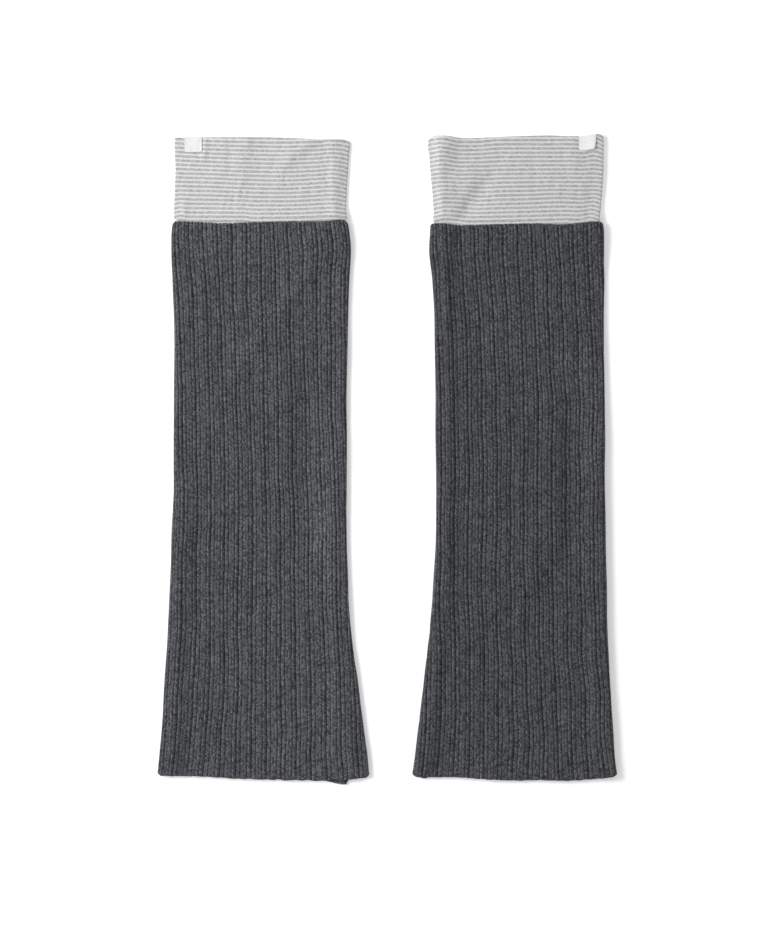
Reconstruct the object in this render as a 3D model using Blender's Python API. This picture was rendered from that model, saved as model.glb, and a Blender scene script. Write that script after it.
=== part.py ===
"""A pair of long ribbed leg warmers with striped cuffs, laid flat side by side.

+X runs to the right across the pair, +Y along the legs from hem to cuff, and +Z up from the surface
that the pair lies on. The origin is on that surface, under the middle of the pair's bounding box.

Every piece of cloth is a wall that goes all the way round the leg. The tube is ribbed and flared. The
cuff is doubled jersey, and its lower end goes into the mouth of the tube, where the seam is. A woven
label is folded over the top edge of each cuff's front.

Sizes are in millimetres, and to_scene turns them into Blender's metres at the very end.
"""

import math
from typing import NamedTuple

import bmesh
import bpy
import numpy as np

MILLIMETRES = 1000  # in a metre

# Cloth
CLEARANCE = 0.3  # between any two pieces
TUBE_WALL = 2.1  # bulky rib knit, from the crest of a rib to its plain inside
MOUTH_WALL = 1.8  # the same cloth, squeezed by the seam
TUBE_THICKNESS = 5.4  # two layers and a little air
CUFF_WALL = 1.2  # jersey doubled on itself
CUFF_GAP = 1.0  # between the cuff's two layers
TUBE_RIM = 0.6  # rounding of the wall's cut edges
CUFF_RIM = 0.4

# Seam between tube and cuff
TONGUE_LENGTH = 6.0  # how far the cuff's end goes into the tube
CUFF_THICKNESS = 2 * CUFF_WALL + CUFF_GAP
MOUTH_THICKNESS = CUFF_THICKNESS + 2 * (CLEARANCE + MOUTH_WALL)
TONGUE_LIFT = MOUTH_WALL + CLEARANCE  # the tongue lies on the lower layer of the tube
MOUTH_LENGTH = 8.5  # of the tube's thick mouth, a little more than the tongue's
MOUTH_EASE = 28.0  # length over which the tube settles below it
LIFT_START = 13.0  # above the mouth, where the cuff leaves the surface
LIFT_END = 2.6  # above the mouth, where it is as high as its tongue

# Label
LABEL_WIDTH = 12.4
LABEL_THICKNESS = 0.4
LABEL_BACK = 4.0  # length inside the cuff
LABEL_COLUMNS = 5
LABEL_BEND_POINTS = 7  # round the cuff's edge

# Ribs: one main groove to a repeat, then narrow, wide and narrow ribs parted by minor grooves
RIB_REPEATS = 26  # all round a tube
RIBS_LEFT = -8  # the finely modelled repeats, from the middle groove of the upper face
RIBS_RIGHT = 8
MAIN_GROOVE = 0.9
MINOR_GROOVE = 0.5
UNDERSIDE_STEP = 0.5  # repeats from point to point where the cloth lies flat on the surface
RIM_RIBS = 0.35  # how much of the ribs' depth is left in a cut edge

# Soft rounding
FOLD_EASE = 16.0  # from a side fold to where the upper layer has sunk to its level
CREASE_FADE = 7.0  # from a side fold to where creases have their full height
GROOVE_FADE = math.radians(60)  # the last of a side fold, over which the ribs fade to the flat underside
EDGE_REACH = 40.0  # how far the wave of an edge carries into the cloth
FOLD_POINTS = 3  # points round each side fold, between its top and its bottom
CUFF_FACE_POINTS = 29
INSIDE_FACE_POINTS = 13
UNDERSIDE_POINTS = 13
CUFF_ROW = 9.0  # most that one row of the cuff may be above the next
TUBE_ROW = 26.0


class RibPoint(NamedTuple):
    share: float  # of a repeat, from its main groove
    depth: float  # below the crest


RIB_PROFILE = (
    RibPoint(0.0, MAIN_GROOVE),
    RibPoint(0.145, 0.1),
    RibPoint(0.29, MINOR_GROOVE),
    RibPoint(0.38, 0.0),
    RibPoint(0.62, 0.0),
    RibPoint(0.71, MINOR_GROOVE),
    RibPoint(0.855, 0.1),
)


class TubeSection(NamedTuple):
    down: float  # below the mouth
    width: float  # from side fold to side fold
    shift: float  # of the centre line, to the right of the leg's axis
    ribs: float  # repeats from fold to fold
    drift: float  # of the middle groove, to the right of the centre line


class CuffSection(NamedTuple):
    up: float  # above the mouth of the tube
    width: float
    shift: float


class EdgePoint(NamedTuple):
    across: float  # -1 at the left fold, 1 at the right one
    out: float  # beyond the edge's nominal line


class Crease(NamedTuple):
    x0: float  # start, to the right of the leg's axis
    y0: float  # and above the mouth
    x1: float  # end
    y1: float
    width: float
    height: float  # above the face, or below it when negative
    right_width: float = 0.0  # of its right flank, where that differs


class Leg(NamedTuple):
    name: str
    axis: float  # x of the leg's axis
    mouth: float  # y of the tube's mouth
    left_fold: float  # thickness at the tube's left fold
    right_fold: float
    label_x: float  # middle of the label at the cuff's top edge, from the axis
    label_left: float  # length of the label's front at its left side
    label_right: float
    label_taper: float  # how far the right side leans in at its lower end
    tube: tuple
    cuff: tuple
    mouth_edge: tuple
    hem_edge: tuple
    back_hem_edge: tuple
    cuff_edge: tuple
    tube_creases: tuple
    cuff_creases: tuple


LEFT_HEM = (
    EdgePoint(-1.00, -3.6),
    EdgePoint(-0.96, -1.9),
    EdgePoint(-0.60, -1.5),
    EdgePoint(-0.41, -0.6),
    EdgePoint(-0.20, 0.3),
    EdgePoint(0.00, 0.7),
    EdgePoint(0.25, 1.2),
    EdgePoint(0.75, 1.3),
    EdgePoint(0.96, -0.6),
    EdgePoint(1.00, -2.0),
)

LEFT_LEG = Leg(
    name="left",
    axis=-91.0,
    mouth=170.0,
    left_fold=6.0,
    right_fold=6.4,
    label_x=-47.7,
    label_left=10.7,
    label_right=9.9,
    label_taper=0.0,
    tube=(
        TubeSection(0.0, 124.4, 0.0, 12.6, -0.25),
        TubeSection(7.5, 126.3, 0.2, 12.6, -0.15),
        TubeSection(19.0, 127.3, 0.6, 12.6, 0.05),
        TubeSection(42.0, 125.6, 0.5, 12.7, 0.45),
        TubeSection(77.0, 123.3, 0.6, 12.7, 1.35),
        TubeSection(127.0, 122.7, 0.2, 12.7, 2.85),
        TubeSection(184.0, 122.9, 0.0, 12.7, 4.25),
        TubeSection(224.0, 124.4, -0.6, 12.6, 5.55),
        TubeSection(259.0, 126.6, -0.9, 12.7, 5.55),
        TubeSection(293.0, 130.0, -0.4, 12.9, 5.25),
        TubeSection(327.0, 136.9, 0.65, 13.3, 4.35),
        TubeSection(361.0, 143.2, 1.85, 13.5, 2.85),
        TubeSection(384.0, 147.9, 2.3, 13.7, 1.95),
        TubeSection(397.3, 150.4, 2.25, 13.7, 1.85),
    ),
    cuff=(
        CuffSection(59.7, 123.2, 1.3),
        CuffSection(51.0, 125.2, 1.2),
        CuffSection(39.0, 123.7, 1.0),
        CuffSection(22.0, 123.4, 0.3),
        CuffSection(10.0, 124.1, -0.1),
        CuffSection(4.6, 123.4, -0.3),
        CuffSection(2.6, 119.3, 0.0),
        CuffSection(-TONGUE_LENGTH, 119.3, 0.0),
    ),
    mouth_edge=(
        EdgePoint(-1.00, -1.6),
        EdgePoint(-0.96, 0.4),
        EdgePoint(-0.65, -0.3),
        EdgePoint(-0.43, -1.0),
        EdgePoint(-0.10, -0.3),
        EdgePoint(0.30, 0.4),
        EdgePoint(0.70, 0.5),
        EdgePoint(0.94, 1.8),
        EdgePoint(1.00, -0.9),
    ),
    hem_edge=LEFT_HEM,
    back_hem_edge=(
        *LEFT_HEM[:7],
        EdgePoint(0.55, 1.6),
        EdgePoint(0.63, 2.4),
        EdgePoint(0.70, 3.7),
        EdgePoint(0.775, 4.1),
        EdgePoint(0.805, 0.8),
        *LEFT_HEM[8:],
    ),
    cuff_edge=(
        EdgePoint(-1.00, -0.3),
        EdgePoint(-0.98, 0.5),
        EdgePoint(-0.94, 0.4),
        EdgePoint(-0.91, 0.0),
        EdgePoint(-0.67, -0.2),
        EdgePoint(-0.62, 0.7),
        EdgePoint(0.00, 0.7),
        EdgePoint(0.45, -0.2),
        EdgePoint(0.65, -0.8),
        EdgePoint(0.92, -0.7),
        EdgePoint(1.00, -3.0),
    ),
    tube_creases=(
        Crease(-34, 2, -31, -35, 6.0, 0.8),
        Crease(44, -27, -17, -105, 9.0, 1.4, 4.5),
        Crease(29, -113, 30, -222, 8.0, -1.1),
        Crease(30, -222, 8, -268, 7.5, -0.8),
        Crease(50, -135, 51, -262, 7.5, 0.9),
        Crease(51, -262, 62, -392, 6.5, 0.9),
        Crease(-55, -190, -57, -262, 5.5, 0.7),
        Crease(-57, -262, -65, -388, 6.0, 1.0),
    ),
    cuff_creases=(
        Crease(50.4, 58, 49.6, 2, 4.0, 0.9, 9.0),
        Crease(37, 58, 20, 44, 8.0, 0.7, 4.0),
        Crease(-9, 58, -14, 27, 10.0, 0.6, 4.0),
    ),
)

RIGHT_HEM = (
    EdgePoint(-1.00, -2.6),
    EdgePoint(-0.96, -0.9),
    EdgePoint(-0.60, -0.5),
    EdgePoint(-0.33, 0.9),
    EdgePoint(0.06, 1.9),
    EdgePoint(0.25, 1.5),
    EdgePoint(0.45, 2.1),
    EdgePoint(0.65, 1.6),
    EdgePoint(0.84, 0.3),
    EdgePoint(0.96, -0.9),
    EdgePoint(1.00, -2.4),
)

RIGHT_LEG = Leg(
    name="right",
    axis=93.2,
    mouth=168.5,
    left_fold=6.2,
    right_fold=8.0,
    label_x=49.8,
    label_left=10.6,
    label_right=9.9,
    label_taper=1.1,
    tube=(
        TubeSection(0.0, 122.9, -1.0, 12.3, -0.18),
        TubeSection(7.5, 123.3, -1.0, 12.4, 0.17),
        TubeSection(17.5, 123.9, -1.3, 12.4, 0.52),
        TubeSection(40.0, 121.5, -0.1, 12.3, 0.92),
        TubeSection(75.0, 119.8, 0.6, 12.2, 1.72),
        TubeSection(126.0, 120.1, 1.25, 12.2, 2.92),
        TubeSection(183.0, 120.0, 1.55, 12.3, 2.92),
        TubeSection(223.0, 120.4, 1.6, 12.2, 2.62),
        TubeSection(257.0, 122.8, 1.15, 12.3, 3.42),
        TubeSection(292.0, 126.3, -0.05, 12.7, 5.12),
        TubeSection(326.0, 132.2, -1.2, 13.1, 7.52),
        TubeSection(360.0, 138.3, -2.0, 13.4, 9.02),
        TubeSection(383.0, 142.4, -2.5, 13.5, 9.72),
        TubeSection(395.3, 145.6, -2.6, 13.5, 10.12),
    ),
    cuff=(
        CuffSection(62.1, 124.9, -1.8),
        CuffSection(58.0, 125.7, -2.0),
        CuffSection(49.5, 124.5, -1.5),
        CuffSection(37.0, 123.4, -1.1),
        CuffSection(24.0, 121.4, -0.9),
        CuffSection(10.0, 119.6, -0.8),
        CuffSection(4.6, 119.1, -1.0),
        CuffSection(2.6, 117.9, -1.0),
        CuffSection(-TONGUE_LENGTH, 117.9, -1.0),
    ),
    mouth_edge=(
        EdgePoint(-1.00, -0.7),
        EdgePoint(-0.96, 0.5),
        EdgePoint(-0.88, 0.5),
        EdgePoint(-0.64, -1.0),
        EdgePoint(-0.25, -0.2),
        EdgePoint(0.20, 0.4),
        EdgePoint(0.52, -0.3),
        EdgePoint(0.75, 1.0),
        EdgePoint(0.94, 1.8),
        EdgePoint(1.00, -0.8),
    ),
    hem_edge=RIGHT_HEM,
    back_hem_edge=RIGHT_HEM,
    cuff_edge=(
        EdgePoint(-1.00, -1.5),
        EdgePoint(-0.97, 0.0),
        EdgePoint(-0.90, 0.8),
        EdgePoint(-0.84, 0.8),
        EdgePoint(-0.58, -1.0),
        EdgePoint(-0.20, 0.0),
        EdgePoint(0.38, 1.0),
        EdgePoint(0.62, 0.4),
        EdgePoint(0.68, -0.4),
        EdgePoint(0.91, -0.2),
        EdgePoint(0.94, 1.4),
        EdgePoint(0.97, 1.3),
        EdgePoint(1.00, -0.6),
    ),
    tube_creases=(
        Crease(-52, 0, -53, -262, 5.0, 1.0),
        Crease(-54, -262, -64, -388, 5.5, 0.9),
        Crease(37, -135, 38, -219, 8.0, -1.1),
        Crease(38, -219, 10, -288, 8.0, -0.8),
        Crease(29, -322, 28, -380, 6.0, -0.7),
        Crease(54, -300, 60, -388, 6.0, 0.6),
    ),
    cuff_creases=(
        Crease(-49.0, 60, -54.2, 38, 7.0, 1.6, 5.5),
        Crease(-54.2, 38, -53.5, 23, 5.0, 0.6, 4.5),
        Crease(-25, 38, -35.4, 26.7, 8.0, 1.0, 4.0),
        Crease(-35.4, 26.7, -43.0, 7, 8.0, 1.4, 4.2),
        Crease(-52, 20, -53.5, 9, 5.0, 1.4, 9.0),
        Crease(55.6, 22, 55.0, 9, 4.5, 0.8, 3.0),
    ),
)


def smooth_step(t):
    """0 to 1, level at both ends, for t from 0 to 1."""
    t = min(max(t, 0.0), 1.0)
    return t * t * (3 - 2 * t)


def edge_out(edge, across):
    """How far an edge stands beyond its nominal line."""
    return float(np.interp(across, [p.across for p in edge], [p.out for p in edge]))


def crease_height(creases, x, y):
    """Height of the highest ridge and the deepest trough there, each a rounded bar with soft ends."""
    heights = [0.0]
    for c in creases:
        run = np.array([c.x1 - c.x0, c.y1 - c.y0])
        offset = np.array([x - c.x0, y - c.y0])
        share = min(max(offset @ run / (run @ run), 0.0), 1.0)
        off = offset - share * run
        width = c.right_width if off[0] > 0 and c.right_width else c.width
        heights.append(c.height * math.exp(-(off @ off) / width**2))
    return max(heights) + min(heights)


class Ring(NamedTuple):
    """A ring of cloth pressed flat: two straight faces joined by a round fold at each side.

    Arc distances run along the ring from the middle of its upper face, positive to the right.
    """

    y: float
    centre: float
    width: float
    lift: float  # of the underside, above the surface
    thickness: float
    left_fold: float  # thickness at the fold
    right_fold: float
    creases: tuple

    def inset(self, by):
        """The ring that lies inside this one, or outside it when by is negative."""
        return self._replace(
            width=self.width - 2 * by,
            lift=self.lift + by,
            thickness=self.thickness - 2 * by,
            left_fold=self.left_fold - 2 * by,
            right_fold=self.right_fold - 2 * by,
        )

    def face_end(self, side):
        """Arc distance from the middle of the upper face to the top of a fold."""
        fold = self.right_fold if side > 0 else self.left_fold
        return (self.width - fold) / 2

    def fold_end(self, side):
        """Arc distance to the bottom of a fold."""
        fold = self.right_fold if side > 0 else self.left_fold
        return self.face_end(side) + math.pi * fold / 2

    def around(self):
        return sum(self.face_end(side) + self.fold_end(side) for side in (-1, 1))

    def point(self, arc, depth=0.0):
        """(x, z, turn) at an arc distance. Turn is 0 on the upper face and pi on the lower one.

        The point lies depth inside the ring, but depth fades out where the fold meets the surface.
        """
        side = 1 if arc >= 0 else -1
        radius = (self.right_fold if side > 0 else self.left_fold) / 2
        face_end = self.face_end(side)
        run = abs(arc)
        turn = min(max((run - face_end) / radius, 0.0), math.pi)
        under = max(run - self.fold_end(side), 0.0)
        depth *= smooth_step((math.pi - turn) / GROOVE_FADE)
        x = min(run, face_end) - under + (radius - depth) * math.sin(turn)
        x = self.centre + side * x
        z = self.lift + radius + (radius - depth) * math.cos(turn)
        if run < face_end:
            z -= (2 * radius - self.thickness) * smooth_step((face_end - run) / FOLD_EASE)
            fade = smooth_step((face_end - run) / CREASE_FADE)
            z += fade * crease_height(self.creases, x, self.y)
        return x, z, turn

    def even_arcs(self, upper_points, under_points):
        """Arc distances spread evenly over both faces, with points round each fold."""
        left_face, right_face = self.face_end(-1), self.face_end(1)
        left_end, right_end = self.fold_end(-1), self.fold_end(1)
        left_middle, right_middle = left_end + left_face, right_end + right_face
        folds = np.arange(1, FOLD_POINTS + 1) / (FOLD_POINTS + 1)
        half_under = under_points // 2 + 1
        return np.concatenate(
            [
                np.linspace(-left_middle, -left_end, half_under),
                -left_end + folds * (left_end - left_face),
                np.linspace(-left_face, right_face, upper_points),
                right_face + folds * (right_end - right_face),
                np.linspace(right_end, right_middle, half_under)[:-1],
            ]
        )

    def rib_arcs(self, ribs, drift, numbers):
        """Arc distances of rib numbers, counted from the middle groove, where this many ribs show.

        The repeats that the upper face and the folds leave over are spread evenly over the underside.
        """
        pitch = self.width / ribs
        left, right = -self.fold_end(-1), self.fold_end(1)
        left_number, right_number = (left - drift) / pitch, (right - drift) / pitch
        around = self.around()
        return np.interp(
            numbers,
            [right_number - RIB_REPEATS, left_number, right_number, left_number + RIB_REPEATS],
            [right - around, left, right, left + around],
        )


def rib_numbers_and_depths():
    """Where the points of a tube's outside lie: rib by rib where it shows, sparse on the underside."""
    shown = [
        (repeat + p.share, p.depth)
        for repeat in range(RIBS_LEFT, RIBS_RIGHT)
        for p in RIB_PROFILE
    ]
    hidden = np.arange(RIBS_RIGHT, RIBS_LEFT + RIB_REPEATS, UNDERSIDE_STEP)
    shown += [(number, MAIN_GROOVE if number % 1 == 0 else 0.0) for number in hidden]
    # Start under the middle, where the inside's points start too.
    start = RIB_REPEATS / 2
    points = sorted((n - RIB_REPEATS if n >= start else n, depth) for n, depth in shown)
    return np.array([p[0] for p in points]), np.array([p[1] for p in points])


def place_ring(leg, ring, arcs, depths, warp):
    """A ring's points in the pair's own frame. Warp moves them along the leg."""
    around = ring.around()
    right_middle = ring.face_end(1) + ring.fold_end(1)
    left_middle = ring.face_end(-1) + ring.fold_end(-1)
    points = []
    for arc, depth in zip(arcs, depths):
        if arc > right_middle:
            arc -= around
        elif arc < -left_middle:
            arc += around
        x, z, turn = ring.point(arc, depth)
        across = 2 * (x - ring.centre) / ring.width
        y = ring.y + warp(ring.y, across, turn > math.pi / 2)
        points.append((leg.axis + x, leg.mouth + y, z))
    return points


def settled(down):
    """0 in the tube's mouth, which the tongue holds open, and 1 where its layers lie on each other."""
    return smooth_step((down - MOUTH_LENGTH) / MOUTH_EASE)


def tube_ring(leg, section):
    """The outside of the ribbed tube at one section."""
    ease = settled(section.down)
    thickness, left_fold, right_fold = (
        MOUTH_THICKNESS + (laid - MOUTH_THICKNESS) * ease
        for laid in (TUBE_THICKNESS, leg.left_fold, leg.right_fold)
    )
    creases = leg.tube_creases if section.down > MOUTH_LENGTH else ()
    return Ring(
        -section.down, section.shift, section.width, 0.0, thickness, left_fold, right_fold, creases
    )


def tube_wall_at(section):
    return MOUTH_WALL + (TUBE_WALL - MOUTH_WALL) * settled(section.down)


def cuff_ring(leg, section):
    """The outside of the cuff at one section. Near the seam it climbs onto the tube's lower layer."""
    lift = TONGUE_LIFT * smooth_step((LIFT_START - section.up) / (LIFT_START - LIFT_END))
    creases = leg.cuff_creases if section.up > LIFT_END else ()
    return Ring(
        section.up,
        section.shift,
        section.width,
        lift,
        CUFF_THICKNESS,
        CUFF_THICKNESS,
        CUFF_THICKNESS,
        creases,
    )


def join_rim(mesh, first, first_shares, second, second_shares):
    """Triangles between two closed loops, whose points are matched by their share of the way round."""
    i = j = 0
    first_shares = [*first_shares, first_shares[0] + 1]
    second_shares = [*second_shares, second_shares[0] + 1]
    while i < len(first) or j < len(second):
        a, b = first[i % len(first)], second[j % len(second)]
        if j == len(second) or (i < len(first) and first_shares[i + 1] <= second_shares[j + 1]):
            i += 1
            mesh.faces.new((a, b, first[i % len(first)]))
        else:
            j += 1
            mesh.faces.new((a, b, second[j % len(second)]))


def join_rings(mesh, rings):
    """Quads between rings of as many points each."""
    for above, below in zip(rings, rings[1:]):
        for i in range(len(above)):
            k = (i + 1) % len(above)
            mesh.faces.new((above[i], above[k], below[k], below[i]))


def wall_object(name, outside, outside_shares, inside, inside_shares, material):
    """One closed wall from the rings of its outside and inside, joined by a rim at each open end."""
    mesh = bmesh.new()
    outer = [[mesh.verts.new(to_scene(p)) for p in ring] for ring in outside]
    inner = [[mesh.verts.new(to_scene(p)) for p in ring] for ring in inside]
    join_rings(mesh, outer)
    join_rings(mesh, inner)
    for end in (0, -1):
        join_rim(mesh, outer[end], outside_shares[end], inner[end], inside_shares[end])
    return finished_object(name, mesh, material)


def to_scene(point):
    """Millimetres to metres."""
    return tuple(value / MILLIMETRES for value in point)


def finished_object(name, mesh, material):
    bmesh.ops.recalc_face_normals(mesh, faces=mesh.faces)
    data = bpy.data.meshes.new(name)
    mesh.to_mesh(data)
    mesh.free()
    data.shade_smooth()
    data.materials.append(material)
    piece = bpy.data.objects.new(name, data)
    bpy.context.scene.collection.objects.link(piece)
    return piece


def with_rims(sections, field, rim):
    """The sections, with one more a rim's width inside each end, and how far each is inset."""
    first, second, *_, before_last, last = sections
    start = blend_sections(first, second, field, rim)
    end = blend_sections(last, before_last, field, rim)
    rows = [first, start, *sections[1:-1], end, last]
    return rows, [rim, *[0.0] * (len(rows) - 2), rim]


def finer(sections, field, most):
    """The sections with more between them, so that none is further than most from the next."""
    rows = [sections[0]]
    for above, below in zip(sections, sections[1:]):
        gap = abs(getattr(below, field) - getattr(above, field))
        parts = math.ceil(gap / most)
        rows += [blend_sections(above, below, field, gap * i / parts) for i in range(1, parts + 1)]
    return rows


def blend_sections(end, neighbour, field, distance):
    """The section this far from the end, towards its neighbour."""
    share = distance / abs(getattr(neighbour, field) - getattr(end, field))
    return type(end)(*(a + share * (b - a) for a, b in zip(end, neighbour)))


def make_tube(leg, material):
    length = leg.tube[-1].down

    def warp(y, across, behind):
        hem_edge = leg.back_hem_edge if behind else leg.hem_edge
        near_mouth = max(1 + y / EDGE_REACH, 0.0)
        near_hem = max(1 - (length + y) / EDGE_REACH, 0.0)
        return near_mouth * edge_out(leg.mouth_edge, across) - near_hem * edge_out(hem_edge, across)

    numbers, depths = rib_numbers_and_depths()
    outside, inside, outside_shares, inside_shares = [], [], [], []
    sections, insets = with_rims(finer(leg.tube, "down", TUBE_ROW), "down", TUBE_RIM)
    for section, inset in zip(sections, insets):
        full = tube_ring(leg, section)
        outer = full.inset(inset)
        arcs = outer.rib_arcs(section.ribs, section.drift, numbers)
        rib_scale = RIM_RIBS if inset else 1.0
        outside.append(place_ring(leg, outer, arcs, depths * rib_scale, warp))
        outside_shares.append(arcs / outer.around())
        inner = full.inset(tube_wall_at(section) - inset)
        arcs = inner.even_arcs(INSIDE_FACE_POINTS, UNDERSIDE_POINTS)
        inside.append(place_ring(leg, inner, arcs, np.zeros(len(arcs)), warp))
        inside_shares.append(arcs / inner.around())
    name = f"{leg.name}_tube"
    return wall_object(name, outside, outside_shares, inside, inside_shares, material)


def make_cuff(leg, material):
    height = leg.cuff[0].up

    def warp(y, across, behind):
        near_top = max(1 - (height - y) / EDGE_REACH, 0.0)
        return near_top * edge_out(leg.cuff_edge, across)

    outside, inside, outside_shares, inside_shares = [], [], [], []
    sections, insets = with_rims(finer(leg.cuff, "up", CUFF_ROW), "up", CUFF_RIM)
    for section, inset in zip(sections, insets):
        full = cuff_ring(leg, section)
        outer = full.inset(inset)
        arcs = outer.even_arcs(CUFF_FACE_POINTS, UNDERSIDE_POINTS)
        outside.append(place_ring(leg, outer, arcs, np.zeros(len(arcs)), warp))
        outside_shares.append(arcs / outer.around())
        inner = full.inset(CUFF_WALL - inset)
        arcs = inner.even_arcs(INSIDE_FACE_POINTS, UNDERSIDE_POINTS)
        inside.append(place_ring(leg, inner, arcs, np.zeros(len(arcs)), warp))
        inside_shares.append(arcs / inner.around())
    name = f"{leg.name}_cuff"
    return wall_object(name, outside, outside_shares, inside, inside_shares, material)


def label_line(leg, share):
    """(x, y, z) along a label, from its front end over the cuff's edge to its back end.

    share is the line's place across the label: -0.5 at its left side, 0.5 at its right one.
    """
    x = leg.label_x + share * LABEL_WIDTH
    top_section = leg.cuff[0]
    across = 2 * (x - top_section.shift) / top_section.width
    edge = top_section.up + edge_out(leg.cuff_edge, across)
    length = leg.label_left + (share + 0.5) * (leg.label_right - leg.label_left)
    lean = (share + 0.5) * leg.label_taper
    bend = CUFF_WALL / 2 + CLEARANCE
    middle = CUFF_THICKNESS - CUFF_WALL / 2
    front = [(x - lean * part, edge - length * part, CUFF_THICKNESS + CLEARANCE) for part in (1.0, 0.5)]
    turns = np.radians(np.linspace(90, -90, LABEL_BEND_POINTS))
    over = [(x, edge + bend * math.cos(a), middle + bend * math.sin(a)) for a in turns]
    return [*front, *over, (x, edge - LABEL_BACK, middle - bend)]


def make_label(leg, material):
    """A strip folded over the top edge of the cuff's front, clear of it all the way."""
    mesh = bmesh.new()
    grid = []
    for share in np.linspace(-0.5, 0.5, LABEL_COLUMNS):
        points = [(leg.axis + x, leg.mouth + y, z) for x, y, z in label_line(leg, share)]
        grid.append([mesh.verts.new(to_scene(p)) for p in points])
    for left, right in zip(grid, grid[1:]):
        for i in range(len(left) - 1):
            mesh.faces.new((left[i], right[i], right[i + 1], left[i + 1]))
    piece = finished_object(f"{leg.name}_label", mesh, material)
    tape = piece.modifiers.new("tape", "SOLIDIFY")
    tape.thickness = LABEL_THICKNESS / MILLIMETRES
    tape.offset = 1.0
    tape.use_even_offset = True
    return piece


def cloth_material(name, colour, roughness):
    material = bpy.data.materials.new(name)
    material.use_nodes = True
    surface = material.node_tree.nodes["Principled BSDF"]
    surface.inputs["Base Color"].default_value = (*colour, 1.0)
    surface.inputs["Roughness"].default_value = roughness
    surface.inputs["Metallic"].default_value = 0.0
    return material


def put_origin_under_middle(pieces):
    """Move all the pieces together so that the origin is under the middle of their bounding box."""
    bpy.context.view_layer.update()
    graph = bpy.context.evaluated_depsgraph_get()
    corners = np.array(
        [corner for piece in pieces for corner in piece.evaluated_get(graph).bound_box]
    )
    middle = (corners.min(axis=0) + corners.max(axis=0)) / 2
    for piece in pieces:
        piece.location = (-middle[0], -middle[1], -corners[:, 2].min())


def main():
    for old in list(bpy.data.objects):
        bpy.data.objects.remove(old, do_unlink=True)
    rib_knit = cloth_material("rib_knit", (0.070, 0.073, 0.081), 0.95)
    striped_jersey = cloth_material("striped_jersey", (0.58, 0.58, 0.59), 0.9)
    woven_tape = cloth_material("woven_tape", (0.80, 0.81, 0.82), 0.7)
    pieces = []
    for leg in (LEFT_LEG, RIGHT_LEG):
        pieces.append(make_tube(leg, rib_knit))
        pieces.append(make_cuff(leg, striped_jersey))
        pieces.append(make_label(leg, woven_tape))
    put_origin_under_middle(pieces)


main()
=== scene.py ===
"""The looks of a pair of ribbed leg warmers with striped cuffs, laid flat side by side.

Each packed tube, cuff and label is replaced by a dense piece on the same form: a closed wall of cloth that
goes all the way round the leg. The wall is a grid that wraps both ways, from the outside over one edge to
the inside and back over the other edge. Its UV map counts stitches, so the knitting follows the cloth.

Shapes are in millimetres, in the frame's axes: +X across the pair, +Y from hem to cuff and +Z up. metres()
turns them into Blender's units. Colours are linear.
"""

import math
from typing import NamedTuple

import bpy
import mathutils
import numpy as np
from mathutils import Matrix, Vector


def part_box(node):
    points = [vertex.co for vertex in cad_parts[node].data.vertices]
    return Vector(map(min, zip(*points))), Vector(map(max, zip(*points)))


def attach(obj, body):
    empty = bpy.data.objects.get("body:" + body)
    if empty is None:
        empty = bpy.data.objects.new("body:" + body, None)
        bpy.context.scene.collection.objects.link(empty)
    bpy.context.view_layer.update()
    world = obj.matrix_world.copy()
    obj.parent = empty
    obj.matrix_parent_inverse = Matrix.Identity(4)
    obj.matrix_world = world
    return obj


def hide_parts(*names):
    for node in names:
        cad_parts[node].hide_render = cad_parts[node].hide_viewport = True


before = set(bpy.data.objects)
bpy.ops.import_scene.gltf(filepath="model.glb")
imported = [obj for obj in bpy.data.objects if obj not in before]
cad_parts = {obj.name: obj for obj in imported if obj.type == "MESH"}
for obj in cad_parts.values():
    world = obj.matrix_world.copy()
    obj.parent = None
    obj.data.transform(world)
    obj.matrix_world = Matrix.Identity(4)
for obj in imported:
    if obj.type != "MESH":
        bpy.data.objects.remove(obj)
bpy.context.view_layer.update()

MILLIMETRES = 1000  # in a metre

# Cloth
CLEARANCE = 0.2  # between label and cuff
TUBE_WALL = 2.1  # bulky rib knit, from the crest of a rib to its inside
MOUTH_WALL = 1.8  # the same cloth, squeezed by the seam
TUBE_THICKNESS = 5.4
CUFF_WALL = 1  # jersey doubled on itself
CUFF_THICKNESS = 3.4
CUFF_ROUNDNESS = 0.3  # width of the cuff's folds against half their thickness

# Seam between tube and cuff
TONGUE_LENGTH = 6  # how far the cuff's end goes into the tube
MOUTH_THICKNESS = 7.6
TONGUE_LIFT = 2.1
MOUTH_LENGTH = 7.5  # of the tube's thick mouth
MOUTH_EASE = 28  # length over which the tube settles below it
FOLD_GROWTH = 170  # length over which the right fold then changes
LIFT_START = 13  # above the mouth, where the cuff leaves the surface
LIFT_END = 2.6  # above the mouth, where it is as high as its tongue
AIR_RISE = 50  # above the mouth, where the cuff is at its thickest

# Ribs and stitches
RIB_REPEATS = 26  # all round a tube
WALES = 4  # columns of stitches in a repeat: one, two and one, parted by grooves
COURSE = 1.1  # height of a row of stitches
PILE = 0.5  # how far the yarn's fuzz widens the tube at each side
INSIDE_RIBS = 0.2  # share of the ribs' depth that shows on the inside
HEM_RIBS = 0.6  # share that is left in the finished edge of the hem
HEM_EDGE = 3.4  # height of that edge
HEM_LINE = 0.12  # depth of the line over it
HEM_LINE_WIDTH = 0.8
HEM_FADE_START = 1.5  # above that line, where the ribs begin to fade
HEM_FADE = 2.5  # length over which they do
SCALLOP = 0.5  # share of a groove's depth by which it notches the mouth
HEM_SCALLOP = 0.1  # and the hem
NOTCH_LENGTH = 4  # how far a notch reaches into the cloth
SEAM_DEPTH = 0.8  # of the back seam
SEAM_WIDTH = 0.09  # repeats

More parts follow.
